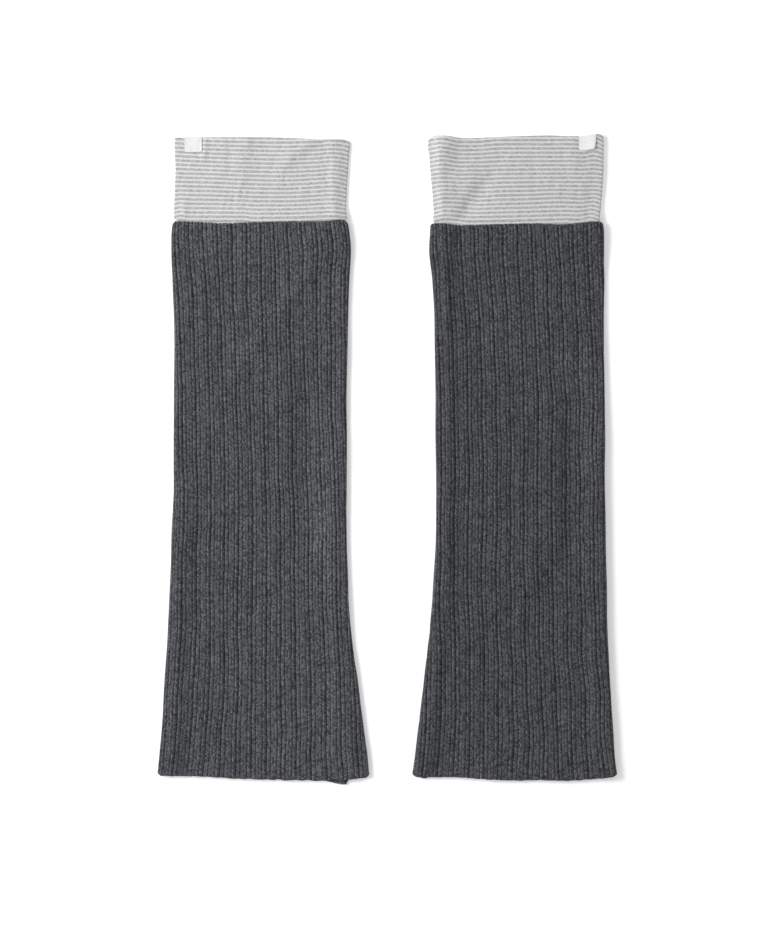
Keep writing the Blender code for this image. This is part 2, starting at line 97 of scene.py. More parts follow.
# Jersey
JERSEY_COURSE = 0.604
JERSEY_WALE = 0.78
STRIPE_COURSES = 5  # two white ones and three grey ones
WHITE_COURSES = 2

# Soft rounding
FOLD_EASE = 16  # from a side fold to where the upper layer lies level
BOW = 2.4  # power of the bend towards the cuff's folds
CREASE_FADE = 7  # from a side fold to where creases have their full height
CREASE_GROWTH = 10  # and from the tube's thick mouth
CUFF_CREASE_GROWTH = 2  # and from the cuff's lifted end
MOUTH_CREASES = 0.4  # share of their height that they have in the mouth itself
EDGE_REACH = 40  # how far the wave of an edge carries into the cloth
UNDER_CREASES = 0.25  # share of a crease's height that the flat underside keeps, as a hollow

# Meshes
POINTS_PER_REPEAT = 28
TUBE_ROW = 3.9
MOUTH_ROW, LINE_ROW, HEM_ROW = 0.6, 0.7, 1  # finer ones at its mouth, line and end
CUFF_ROW = 1.5
CUFF_COLUMNS = 260
RIM_STEPS = 6
END_PICKS = (0, 1, 2, 4, 7)  # rows that a wall's inside keeps, counted from each end
PICK_STEP = 12  # rows between the others


class Uneven(NamedTuple):
    height: float  # of most of its waves, to either side
    size: float  # of a wave
    seed: int  # added to the leg's


RIB_WANDER = Uneven(0.045, 45, 0)  # repeats
GROOVE_DEPTHS = Uneven(0.12, 30, 1)  # share of their depth
TUBE_SWELLS = Uneven(0.2, 26, 2)
TUBE_DIMPLES = Uneven(0.12, 11, 3)
RIB_HEIGHTS = Uneven(0.18, 60, 4)
CUFF_DIMPLES = Uneven(0.08, 14, 5)
CUFF_CRINKLES = Uneven(0.08, 6, 6)
HEM_WAVES = Uneven(0.2, 7, 7)
WAVE_COUNT = 9
WAVE_LENGTHS = (0.7, 1.6)  # shortest and longest, against the size
RIB_PITCH = 9  # about how far apart the repeats are
RIBS_APART = 60  # so far that a rib's height says nothing about the next one's
LAYERS_APART = 9  # in the same way, for the hem's two layers
CRINKLE_WIDTH = 0.35  # of the cuff's upright crinkles, against their length


class RibPoint(NamedTuple):
    share: float  # of a repeat, from one main groove to the next
    depth: float  # below the crests
    wale: float  # columns of stitches counted from the main groove


def table(kind, *rows):
    """Rows of one kind, which names their columns."""
    return tuple(kind(*row) for row in rows)


HALF_RIB = table(
    RibPoint,
    (0, 1.3, 0),
    (0.05, 0.85, 0.17),
    (0.143, 0, 0.5),
    (0.22, 0.25, 0.77),
    (0.286, 0.75, 1),
    (0.335, 0.3, 1.23),
    (0.39, 0, 1.49),
    (0.5, 0.2, 2),
)
RIB_PROFILE = HALF_RIB + tuple(
    RibPoint(1 - point.share, point.depth, WALES - point.wale) for point in HALF_RIB[-2::-1]
)


class TubeSection(NamedTuple):
    down: float  # below the mouth
    width: float  # from side fold to side fold
    shift: float  # of the centre line, to the right of the leg's axis
    ribs: float  # repeats from fold to fold
    drift: float  # of the middle groove, to the right of the centre line


class CuffSection(NamedTuple):
    up: float  # above the mouth of the tube
    width: float
    shift: float


class EdgePoint(NamedTuple):
    across: float  # -1 at the left fold, 1 at the right one
    out: float  # beyond the edge's nominal line


class StripeWave(NamedTuple):
    up: float  # above the mouth
    points: tuple  # EdgePoints: how far a stripe at that height is raised


def edge(*points):
    return table(EdgePoint, *points)


def wave(up, *points):
    return StripeWave(up, edge(*points))


class Crease(NamedTuple):
    x0: float  # start, to the right of the leg's axis
    y0: float  # and above the mouth
    x1: float  # end
    y1: float
    width: float
    height: float  # above the face, or below it when negative
    right_width: float = 0  # of its right flank, where that differs


class Leg(NamedTuple):
    name: str
    axis: float  # x of the leg's axis
    mouth: float  # y of the tube's mouth
    left_fold: float  # thickness at the tube's left fold
    upper_right_fold: float  # at its right one, below the mouth
    lower_right_fold: float  # and near the hem
    seam: float  # rib number of the back seam
    hem_step: float  # how far the lower layer's hem shows beyond the upper one's
    seed: int  # of the small unevenness of its cloth
    painted_tube_shade: float  # painted shade: how bright the tube's colour is made for the light on that leg, the same yarn on both
    painted_label_light: float  # painted light and shade: the same for the label's colour, made lighter or darker for the light on it
    first_stripe: float  # height of a white stripe's middle above the mouth
    cuff_air: float  # how much thicker the cuff gets above its seam
    cuff_left_drop: float  # how much thinner it is at its left fold
    cuff_drop: float  # and at its right one
    label_x: float  # middle of the label at the cuff's top edge, from the axis
    label_left: float  # length of the label's front at its left side
    label_right: float
    label_taper: float  # how far the right side leans in at its lower end
    label_rise: float  # how far it stands off the cuff there
    tube: tuple
    cuff: tuple
    mouth_edge: tuple
    hem_edge: tuple
    back_hem_edge: tuple
    cuff_edge: tuple
    stripe_waves: tuple
    tube_creases: tuple
    painted_light_bars: tuple  # Creases whose height is painted light, or painted shade where negative: how much paler or darker the tube's colour is made there
    cuff_creases: tuple


LEFT_HEM = edge(
    (-1, -3.6), (-0.96, -1.9), (-0.6, -1.5), (-0.41, -0.6), (-0.2, 0.3), (0, 0.7), (0.25, 1.2), (0.75, 1.3),
    (0.96, -0.6), (1, -2),
)

LEFT_TUBE = table(
    TubeSection,
    (0, 124.4, 0, 12.6, -0.25),
    (7.5, 126.3, 0.2, 12.6, -0.15),
    (19, 127.3, 0.6, 12.6, 0.05),
    (42, 125.6, 0.5, 12.7, 0.45),
    (77, 123.3, 0.6, 12.7, 1.35),
    (127, 122.7, 0.2, 12.7, 2.85),
    (184, 122.9, 0, 12.7, 4.25),
    (224, 124.4, -0.6, 12.6, 5.55),
    (259, 126.6, -0.9, 12.7, 5.55),
    (293, 130, -0.4, 12.9, 5.25),
    (327, 136.9, 0.65, 13.3, 4.35),
    (361, 143.2, 1.85, 13.5, 2.85),
    (384, 147.9, 2.3, 13.7, 1.95),
    (397.3, 150.4, 2.25, 13.7, 1.85),
)

LEFT_CUFF = table(
    CuffSection,
    (59.7, 124.9, 1.35),
    (55, 125.3, 1.25),
    (51, 124.7, 1.05),
    (39, 123.4, 1),
    (22, 122.9, 0.25),
    (10, 122.9, -0.15),
    (2, 123.5, 0.15),
    (0.4, 119.6, 0),
    (-TONGUE_LENGTH, 119.3, 0),
)

LEFT_STRIPES = (
    wave(
        55.3, (-0.98, 2.1), (-0.64, 0.6), (-0.43, 0.2), (0, -0.4), (0.21, -0.6), (0.44, -0.4),
        (0.63, -0.1), (0.77, 0.8), (0.9, 0.5), (1, -0.8),
    ),
    wave(
        28, (-0.98, 1.7), (-0.64, 1.3), (-0.2, 0.1), (0.26, -0.4), (0.64, 0.7), (0.82, 1.4), (0.95, 0.3),
        (1, -1),
    ),
    wave(
        1.7, (-0.98, 0.6), (-0.92, 1.6), (-0.84, 0.8), (-0.2, 0.8), (-0.08, 0), (0.4, 0.3), (0.85, 1.2),
        (1, 0.4),
    ),
)

LEFT_TUBE_CREASES = table(
    Crease,
    (-34, 2, -31, -35, 6, 0.8),
    (-23, -8, -22, -32, 5, -0.5),
    (44, -27, -17, -105, 9, 2, 4.5),
    (29, -113, 30, -222, 8, -1.1),
    (30, -222, 8, -268, 7.5, -0.8),
    (50, -135, 51, -262, 7.5, 0.9),
    (51, -262, 62, -392, 6.5, 0.9),
    (-55, -190, -57, -262, 5.5, 0.7),
    (-57, -262, -65, -388, 6, 1),
    (-43, -345, -43, -380, 8, 0.5),
    (39, -350, 36, -378, 6, 0.5),
    (56, -42, 55, -60, 5, 0.6),
)

# Painted light and shade on the left tube's colour, in soft bars
LEFT_PAINTED_LIGHT_BARS = table(
    Crease,
    (49, -130, 49, -190, 9, 0.2),
    (45, -200, 45, -232, 11, 0.36),
    (38, -17, 45, -17, 6, 0.08),
    (58, -388, 62, -392, 8, 0.08),
    (-49, -305, -50, -388, 6, -0.06),
    (22, -200, 22, -232, 8, 0.08),
    (50, -240, 49, -262, 9, 0.18),
    (46, -262, 54, -392, 9, 0.1),
    (56, -316, 58, -328, 9, 0.15),
    (12, -328, 11, -360, 7, 0.08),
    (50, -82, 50, -92, 6, 0.14),
    (51, -46, 51, -60, 6, 0.12),
    (36, -5, 58, -3, 9, 0.1),
    (-50, -6, -22, -4, 10, 0.08),
    (28, -45, -21, -106, 6, 0.06),
    (24, -105, 24, -222, 6.5, -0.16),
    (30, -306, 30, -338, 6, -0.07),
    (-49, -76, -49, -96, 6, -0.09),
    (-50, -200, -58, -392, 8, -0.16),
    (-37, -198, -36, -212, 8, -0.06),
    (-38, -335, -36, -390, 10, -0.08),
    (64, -265, 74, -392, 4.5, -0.12),
)

LEFT_CUFF_CREASES = table(
    Crease,
    (52, 58, 52, 43, 4, 0.7, 8),
    (52, 43, 52.6, 16, 3.2, 1, 8),
    (52.6, 16, 52.6, 2, 4, 1.1, 8),
    (37, 58, 22, 47, 9, 1.2, 4),
    (22, 47, 17, 38, 8, 0.6, 4),
    (-9, 58, -10.4, 45, 11, 1.1, 3.5),
    (-10.4, 45, -14, 27, 10, 0.7, 3.5),
    (-25.2, 57, -25.6, 36, 9, 0.8, 3.5),
    (-39, 56, -40.2, 46, 2.2, 1.2, 2.6),
    (-52.5, 26, -54.5, 12, 4, 0.3, 3),
    (-54.5, 12, -53.8, 3, 3, 0.6, 3),
)

LEFT_LEG = Leg(
    name="left",
    axis=-91,
    mouth=170,
    left_fold=6,
    upper_right_fold=4.9,
    lower_right_fold=5.3,
    seam=8.5,
    hem_step=0.5,
    seed=3,
    painted_tube_shade=1,
    painted_label_light=0.96,
    first_stripe=55.3,
    cuff_air=0,
    cuff_left_drop=0,
    cuff_drop=1.1,
    label_x=-47.7,
    label_left=10.45,
    label_right=10.6,
    label_taper=0,
    label_rise=0.3,
    tube=LEFT_TUBE,
    cuff=LEFT_CUFF,
    mouth_edge=edge(
        (-1, -1.6), (-0.96, 0.4), (-0.65, -0.3), (-0.43, -1), (-0.1, -0.3), (0.3, 0.4), (0.7, 0.5),
        (0.94, 1.8), (1, -0.9),
    ),
    hem_edge=LEFT_HEM,
    back_hem_edge=edge(
        *LEFT_HEM[:7],
        (0.55, 1.6), (0.63, 2.4), (0.7, 3.7), (0.775, 4.1), (0.805, 0.8),
        *LEFT_HEM[8:],
    ),
    cuff_edge=edge(
        (-1, 0.4), (-0.98, 0.6), (-0.91, 0.5), (-0.67, 0.5), (-0.62, 0.7), (0, 0.7), (0.45, -0.2),
        (0.65, -0.8), (0.92, -0.7), (1, -2.4),
    ),
    stripe_waves=LEFT_STRIPES,
    tube_creases=LEFT_TUBE_CREASES,
    painted_light_bars=LEFT_PAINTED_LIGHT_BARS,
    cuff_creases=LEFT_CUFF_CREASES,
)

RIGHT_HEM = edge(
    (-1, -2.6), (-0.96, -0.9), (-0.6, -0.5), (-0.33, 0.9), (0.06, 1.9), (0.25, 1.5), (0.45, 2.1),
    (0.65, 1.6), (0.84, 0.3), (0.96, -0.9), (1, -2.4),
)

RIGHT_TUBE = table(
    TubeSection,
    (0, 122.4, -1.25, 12.3, -0.18),
    (6, 123.2, -1, 12.4, 0.12),
    (17.5, 123.9, -1.3, 12.4, 0.52),
    (40, 121.5, -0.1, 12.3, 0.92),
    (75, 119.8, 0.6, 12.2, 1.72),
    (126, 120.1, 1.25, 12.2, 2.92),
    (183, 120, 1.55, 12.3, 2.92),
    (223, 120.4, 1.6, 12.2, 2.62),
    (257, 122.8, 1.15, 12.3, 3.42),
    (292, 126.3, -0.05, 12.7, 5.12),
    (326, 132.2, -1.2, 13.1, 7.52),
    (360, 138.3, -2, 13.4, 9.02),
    (383, 142.4, -2.5, 13.5, 9.72),
    (395.3, 145.6, -2.6, 13.5, 10.12),
)

RIGHT_CUFF = table(
    CuffSection,
    (62.1, 124.9, -1.8),
    (58, 125.7, -2),
    (49.5, 124.5, -1.5),
    (37, 123.4, -1.1),
    (24, 121.4, -0.9),
    (10, 119.2, -1),
    (6, 118.7, -1.35),
    (2, 118.8, -1.5),
    (0.4, 117.6, -1.05),
    (-TONGUE_LENGTH, 117.4, -1.05),
)

RIGHT_STRIPES = (
    wave(
        58.1, (-1, -0.8), (-0.94, 0), (-0.87, 0.6), (-0.8, 0.3), (-0.64, -1.5), (-0.46, -1.5),
        (-0.18, -0.1), (0.62, -0.1), (0.76, -0.4), (0.9, 1.3), (1, -1.4),
    ),
    wave(
        47, (-1, -0.8), (-0.86, 0.4), (-0.64, -1.1), (-0.46, -0.9), (-0.18, -0.1), (0.62, 0), (0.76, -0.4),
        (0.88, 0.7), (1, -0.9),
    ),
    wave(
        31.1, (-1, -0.9), (-0.94, -0.1), (-0.85, 0.1), (-0.64, -0.5), (-0.53, -0.2), (-0.36, -0.6),
        (-0.18, -0.2), (0.5, 0.2), (0.94, 0.1), (1, -0.4),
    ),
    wave(
        19.1, (-1, -1), (-0.85, 0.7), (-0.64, 0.4), (-0.46, -1), (-0.18, -0.3), (0.09, 0), (0.5, 1),
        (0.77, 0.4), (0.9, 1.1), (1, -0.4),
    ),
    wave(
        4, (-1, -0.9), (-0.85, 0.7), (-0.55, -0.7), (-0.18, -0.4), (0.3, 0.3), (0.6, 0.7), (0.74, 0.5),
        (0.89, 2.1), (1, 0),
    ),
)

RIGHT_TUBE_CREASES = table(
    Crease,
    (-52, 0, -52, -140, 5, 1.1),
    (-52, -140, -53, -262, 5.5, 1),
    (-54, -262, -64, -388, 5.5, 0.9),
    (37, -135, 38, -219, 8, -1.1),
    (38, -219, 22, -258, 8, -0.9),
    (22, -258, 10, -288, 7, -0.7),
    (-22, -130, -21, -144, 5, -0.5),
    (0, -138, 1, -154, 5, -0.5),
    (-4, -214, -3, -232, 5, -0.5),
    (29, -322, 28, -380, 6, -0.7),
    (54, -300, 60, -388, 6, 0.6),
)

# Painted light and shade on the right tube's colour, in soft bars
RIGHT_PAINTED_LIGHT_BARS = table(
    Crease,
    (-57, -60, -58, -262, 4.5, 0.22),
    (-57, -118, -57, -170, 8, 0.29),
    (-60, -5, -60, -20, 7, 0.2),
    (-34, -24, -34, -50, 9, 0.06),
    (48, -90, 50, -175, 8, 0.12),
    (-20, -60, 30, -90, 22, 0.06),
    (-47, 0, -49, -100, 5.5, -0.16),
    (-46, -100, -46, -190, 5, -0.12),
    (-48, -190, -49, -262, 5.5, -0.16),
    (-38, -255, -37, -278, 6, -0.08),
    (-30, -305, -18, -340, 16, -0.06),
    (-50, -262, -62, -388, 6, -0.14),
    (31, -145, 32, -222, 7, -0.15),
    (32, -222, 16, -262, 7, -0.15),
    (16, -262, 4, -292, 7, -0.12),
    (16, -335, 16, -360, 5, 0.06),
    (38, -335, 48, -372, 12, -0.09),
)

RIGHT_CUFF_CREASES = table(
    Crease,
    (-53, 60, -55, 50, 9, 3, 9),
    (-55, 50, -57.5, 40, 8, 2.5, 9.5),
    (-57.5, 40, -58.5, 24, 6, 1.9, 9.5),
    (-58.5, 24, -58.5, 2, 6, 2.1, 15),
    (-36, 38, -38, 27, 6, 0.5, 6),
    (-17, 43, -20.5, 31, 4.5, -0.4, 8),
    (-20.5, 31, -26, 25.4, 4.5, -0.9, 8),
    (-26, 25.4, -34.6, 13.9, 4.5, -1.6, 8),
    (-34.6, 13.9, -40.5, 2, 4.8, -1.8, 9),
    (39.5, 58, 41.5, 46, 8, 0.7, 3),
    (52, 32, 51, 3, 4, -0.4, 6.5),
    (10, 54, 12, 26, 3, -0.2),
)

RIGHT_LEG = Leg(
    name="right",
    axis=93.2,
    mouth=168.5,
    left_fold=6.2,
    upper_right_fold=4.6,
    lower_right_fold=8,
    seam=-8.5,
    hem_step=0.2,
    seed=8,
    painted_tube_shade=0.88,
    painted_label_light=1.08,
    first_stripe=58.1,
    cuff_air=0.8,
    cuff_left_drop=0.4,
    cuff_drop=0.3,
    label_x=49.4,
    label_left=10.1,
    label_right=10.2,
    label_taper=1.1,
    label_rise=0.8,
    tube=RIGHT_TUBE,
    cuff=RIGHT_CUFF,
    mouth_edge=edge(
        (-1, -0.7), (-0.96, 0.5), (-0.88, 0.5), (-0.64, -1), (-0.25, -0.2), (0.2, 0.4), (0.52, -0.3),
        (0.75, 1), (0.95, 1.8), (1, 0.4),
    ),
    hem_edge=RIGHT_HEM,
    back_hem_edge=edge(
        (-1, -2.6), (-0.96, -0.8), (-0.91, -0.2), (-0.885, 0.3), (-0.865, 0.2), (-0.85, -0.5),
        *RIGHT_HEM[2:],
    ),
    cuff_edge=edge(
        (-1, -2.3), (-0.97, -0.4), (-0.9, 0.8), (-0.84, 0.8), (-0.58, -1), (-0.2, 0), (0.38, 1),
        (0.62, 0.5), (0.7, 0.5), (0.75, 0.3), (0.91, 1.7), (0.935, 2.3), (0.97, 1.6), (1, -0.4),
    ),
    stripe_waves=RIGHT_STRIPES,
    tube_creases=RIGHT_TUBE_CREASES,
    painted_light_bars=RIGHT_PAINTED_LIGHT_BARS,
    cuff_creases=RIGHT_CUFF_CREASES,
)


# Curves and unevenness


def smooth_step(t):
    """0 to 1, level at both ends, for t from 0 to 1."""
    t = np.clip(t, 0, 1)
    return t * t * (3 - 2 * t)


def blend(first, second, share):
    return first + (second - first) * share


def smooth_curve(at, places, values):
    """Values on a smooth curve through a table, with no bump that the table doesn't have."""
    places, values = np.asarray(places, float), np.asarray(values, float)
    if places[0] > places[-1]:
        places, values = places[::-1], values[::-1]
    gaps = np.diff(places)
    grades = np.diff(values) / gaps
    before, after = grades[:-1], grades[1:]
    same_way = before * after > 0
    harmonic = 2 * before * after / np.where(same_way, before + after, 1)
    slopes = np.concatenate([grades[:1], np.where(same_way, harmonic, 0), grades[-1:]])
    at = np.clip(at, places[0], places[-1])
    i = np.clip(np.searchsorted(places, at, side="right") - 1, 0, len(gaps) - 1)
    t = (at - places[i]) / gaps[i]
    rise = values[i + 1] - values[i]
    from_start = slopes[i] * gaps[i] * t * (1 - t) ** 2
    from_end = slopes[i + 1] * gaps[i] * t * t * (t - 1)
    return values[i] + rise * t * t * (3 - 2 * t) + from_start + from_end


def column(rows, name):
    return [getattr(row, name) for row in rows]


def curves(rows, at, *names):
    """Named columns of a table, on smooth curves over its first column."""
    places = [row[0] for row in rows]
    return [smooth_curve(at, places, column(rows, name)) for name in names]


def edge_out(points, across):
    """How far an edge stands beyond its nominal line."""
    return curves(points, across, "out")[0]


def creased(creases, x, y):
    """Height of the highest ridge and the deepest trough there, each a rounded bar with soft ends."""
    highest = deepest = np.zeros_like(x)
    for c in creases:
        run_x, run_y = c.x1 - c.x0, c.y1 - c.y0
        share = ((x - c.x0) * run_x + (y - c.y0) * run_y) / (run_x**2 + run_y**2)
        share = np.clip(share, 0, 1)
        off_x, off_y = x - c.x0 - share * run_x, y - c.y0 - share * run_y
        width = np.where(off_x > 0, c.right_width or c.width, c.width)
        height = c.height * np.exp(-(off_x**2 + off_y**2) / width**2)
        highest, deepest = np.maximum(highest, height), np.minimum(deepest, height)
    return highest + deepest


def unevenness(kind, leg, x, y):
    """Soft waves that never repeat."""
    draw = np.random.default_rng(leg.seed + kind.seed)
    total = np.zeros(np.broadcast(x, y).shape)
    for _ in range(WAVE_COUNT):
        angle, phase = draw.uniform(0, math.tau, 2)
        length = kind.size * draw.uniform(*WAVE_LENGTHS)
        along = (x * math.cos(angle) + y * math.sin(angle)) / length
        total += np.sin(math.tau * along + phase)
    return kind.height * (total / math.sqrt(WAVE_COUNT))


# Rings of cloth


class Rings(NamedTuple):
    """Rings of cloth pressed flat, one a row: two straight faces joined by a round fold at each side.

    Each field is a column of numbers. Arc distances run along a ring from the middle of its upper face,
    positive to the right.
    """

    centre: np.ndarray
    width: np.ndarray
    lift: np.ndarray  # of the underside, above the surface
    thickness: np.ndarray
    left_fold: np.ndarray  # thickness at the fold
    right_fold: np.ndarray
    roundness: float = 1  # 1 where the folds are half circles, less where squashed
    bowed: bool = False  # whether the upper layer bends ever more towards its folds

    def inset(self, by):
        """The rings that lie inside these."""
        across = ("width", "thickness", "left_fold", "right_fold")
        return self._replace(lift=self.lift + by, **{name: getattr(self, name) - 2 * by for name in across})

    def fold(self, side):
        return np.where(side > 0, self.right_fold, self.left_fold)

    def face_end(self, side):
        """Arc distance from the middle of the upper face to the top of a fold."""
        return (self.width - self.roundness * self.fold(side)) / 2

    def fold_end(self, side):
        """Arc distance to the bottom of a fold."""
        return self.face_end(side) + math.pi * self.fold(side) / 2

    def around(self):
        return sum(self.face_end(side) + self.fold_end(side) for side in (-1, 1))

    def on_ring(self, arc):
        """Arc distances beyond the middle of the underside, counted from the other side."""
        around = self.around()
        right_middle = self.face_end(1) + self.fold_end(1)
        return (arc - right_middle) % around + right_middle - around

    def point(self, arc, depth):
        """(x, z, turn) at an arc distance, depth inside the ring. Turn is 0 on top and pi below."""
        side = np.where(arc >= 0, 1, -1)
        radius = self.fold(side) / 2
        face_end = self.face_end(side)
        run = np.abs(arc)
        turn = np.clip((run - face_end) / radius, 0, math.pi)
        under = np.maximum(run - self.fold_end(side), 0)
        x = np.minimum(run, face_end) - under + (self.roundness * radius - depth) * np.sin(turn)
        z = self.lift + radius + (radius - depth) * np.cos(turn)
        from_fold = np.clip((face_end - run) / FOLD_EASE, 0, 1)
        eased = 1 - (1 - from_fold) ** BOW if self.bowed else smooth_step(from_fold)
        z -= np.where(run < face_end, (2 * radius - self.thickness) * eased, 0)
        return self.centre + side * x, z, turn

    def face_shares(self, arc):
        """1 on the upper face, and 1 on the underside, each fading to 0 at its folds."""
        side, run = np.where(arc >= 0, 1, -1), np.abs(arc)
        from_folds = self.face_end(side) - run, run - self.fold_end(side)
        return [smooth_step(distance / CREASE_FADE) for distance in from_folds]


def as_column(values):
    return np.asarray(values, float)[:, None]


def settled(down):
    """0 in the tube's mouth, which the tongue holds open, and 1 where its layers lie on each other."""
    return smooth_step((down - MOUTH_LENGTH) / MOUTH_EASE)


def tube_wall(down):
    return blend(MOUTH_WALL, TUBE_WALL, settled(down))


def tube_rings(leg, down):
    width, shift = curves(leg.tube, down, "width", "shift")
    lower = smooth_step((down - MOUTH_EASE) / FOLD_GROWTH)
    right_laid = blend(leg.upper_right_fold, leg.lower_right_fold, lower)
    ease = settled(down)
    thickness = blend(MOUTH_THICKNESS, TUBE_THICKNESS, ease)
    left_fold = blend(MOUTH_THICKNESS - leg.cuff_left_drop, leg.left_fold, ease)
    right_fold = blend(MOUTH_THICKNESS - leg.cuff_drop, right_laid, ease)
    return Rings(shift, width, np.zeros_like(down), thickness, left_fold, right_fold)


def cuff_rings(leg, up):
    width, shift = curves(leg.cuff, up, "width", "shift")
    lift = TONGUE_LIFT * smooth_step((LIFT_START - up) / (LIFT_START - LIFT_END))
    thickness = CUFF_THICKNESS + leg.cuff_air * smooth_step(up / AIR_RISE)
    left_fold, right_fold = thickness - leg.cuff_left_drop, thickness - leg.cuff_drop
    return Rings(shift, width, lift, thickness, left_fold, right_fold, CUFF_ROUNDNESS, bowed=True)


def wall_loop(along, wall):
    """(position, inset, turn) once round a wall's section: outside, last rim, inside, first rim.

    along holds the positions between the two rims. wall(position) is its thickness there. Turn is 0 on the
    outside and pi on the inside.
    """
    first, last = along[0], along[-1]
    rim_turns = np.linspace(0, math.pi, RIM_STEPS + 1)[1:-1]
    way = math.copysign(1, last - first)
    loop = [(p, 0, 0) for p in along]
    half = wall(last) / 2
    loop += [(last + way * half * math.sin(t), half * (1 - math.cos(t)), t) for t in rim_turns]
    loop += [(p, wall(p), math.pi) for p in sparse(along)[::-1]]
    half = wall(first) / 2
    loop += [(first - way * half * math.sin(t), half * (1 - math.cos(t)), t) for t in rim_turns[::-1]]
    return tuple(as_column(values) for values in zip(*loop))


def sparse(along):
    """A few of the positions: close together near both ends, far apart in between."""
    count = len(along)
    picks = {*END_PICKS, *(count - 1 - p for p in END_PICKS)}
    picks |= set(range(PICK_STEP, count - PICK_STEP, PICK_STEP))
    return [along[pick] for pick in sorted(picks)]


# Meshes


def wrapped_grid(name, points, uvs, material):
    """A closed mesh whose grid of points wraps round both ways. uvs has one more row and column."""
    rows, columns = points.shape[:2]
    across = np.arange(columns)
    down = np.arange(rows)[:, None]
    next_across, next_down = (across + 1) % columns, (down + 1) % rows
    corners = [(down, across), (next_down, across), (next_down, next_across), (down, next_across)]
    faces = np.stack([r * columns + c for r, c in corners], axis=-1).reshape(-1, 4)
    uv_corners = [(0, 0), (1, 0), (1, 1), (0, 1)]
    loops = np.stack([uvs[r : r + rows, c : c + columns] for r, c in uv_corners], axis=2)

    mesh = bpy.data.meshes.new(name)
    mesh.vertices.add(rows * columns)
    mesh.vertices.foreach_set("co", metres(points).ravel())
    mesh.loops.add(faces.size)
    mesh.loops.foreach_set("vertex_index", faces.ravel())
    mesh.polygons.add(len(faces))
    mesh.polygons.foreach_set("loop_start", np.arange(0, faces.size, 4))
    mesh.update(calc_edges=True)
    mesh.uv_layers.new(name="stitches").data.foreach_set("uv", loops.ravel())
    mesh.validate()
    return piece_of(mesh, material)


def piece_of(mesh, material):
    mesh.shade_smooth()
    mesh.materials.append(material)
    return linked(mesh.name, mesh)


def linked(name, data):
    thing = bpy.data.objects.new(name, data)
    bpy.context.scene.collection.objects.link(thing)
    return thing


def metres(values):
    return np.asarray(values, float) / MILLIMETRES


def frame_shift():
    """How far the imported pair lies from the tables' own origin: across by its left label's middle, and
    along by its left cuff's lower end."""
    label_x = sum(corner[0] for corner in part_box("left_label")) / 2 * MILLIMETRES
    tongue_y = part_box("left_cuff")[0][1] * MILLIMETRES
    table_x, table_y = LEFT_LEG.axis + LEFT_LEG.label_x, LEFT_LEG.mouth - TONGUE_LENGTH
    return np.array([label_x - table_x, tongue_y - table_y, 0])


def in_frame(leg, x, y, z):
    """Points in the frame, without the last column, which repeats the first."""
    return np.stack([leg.axis + x, leg.mouth + y, z], axis=-1)[:, :-1] + frame_shift()


def rib_depth(number):
    """Depth of the cloth's outside below the crests, at a rib number, counted from a main groove."""
    return curves(RIB_PROFILE, number % 1, "depth")[0]


def wale_number(number):
    """Columns of stitches up to a rib number. The outer ones of a repeat are the wider ones."""
    whole = np.floor(number)
    part = np.interp(number - whole, column(RIB_PROFILE, "share"), column(RIB_PROFILE, "wale"))
    return WALES * whole + part


def make_tube(leg, material):
    """The ribbed tube, from its seam with the cuff to its hem."""
    length = leg.tube[-1].down
    start, end = tube_wall(0) / 2, length - tube_wall(length) / 2
    hem_line = end - HEM_EDGE
    finer = [start + MOUTH_ROW, hem_line - LINE_ROW, hem_line, hem_line + LINE_ROW, end - HEM_ROW]
    along = sorted([*np.linspace(start, end, math.ceil(length / TUBE_ROW)), *finer])
    down, inset, rim_turn = wall_loop(along, tube_wall)

    numbers = np.arange(RIB_REPEATS * POINTS_PER_REPEAT + 1)[None, :] / POINTS_PER_REPEAT - RIB_REPEATS / 2
    full = tube_rings(leg, down)
    full = full._replace(width=full.width + 2 * PILE)
    rings = full.inset(inset)
    arc = rings.on_ring(rib_arcs(leg, rings, numbers, down))
    x, z, turn = rings.point(arc, tube_relief(leg, numbers, down, rim_turn, hem_line))
    upper, under = rings.face_shares(arc)

    soft = unevenness(TUBE_SWELLS, leg, x, down) + unevenness(TUBE_DIMPLES, leg, x, down)
    grown = np.minimum(1, MOUTH_CREASES + smooth_step((down - MOUTH_LENGTH) / CREASE_GROWTH))
    z = z + upper * (creased(leg.tube_creases, x, -down) * grown + soft)
    hidden = np.abs(creased(leg.tube_creases, -x, -down)) + np.abs(soft)
    z = np.maximum(z + UNDER_CREASES * hidden * under, 0)  # its weight presses it flat on the surface
    y = tube_run(leg, numbers, down, rings, full, x, turn)

    # Courses are counted upwards, so that stitches point the same way as on the real tube.
    uvs = stitch_map(wale_number(numbers), as_column(-loop_distance(down, inset)) / COURSE)
    tube = wrapped_grid(f"{leg.name}_rib_tube", in_frame(leg, x, y, z), uvs, material)
    # Painted light and shade: the tube's colour is made paler or darker in soft bars, kept at each point
    painted_light_shade = 1 + upper * creased(leg.painted_light_bars, x, -down)
    values = tube.data.attributes.new("painted_light_shade", "FLOAT", "POINT").data
    values.foreach_set("value", painted_light_shade[:, :-1].ravel())
    return tube


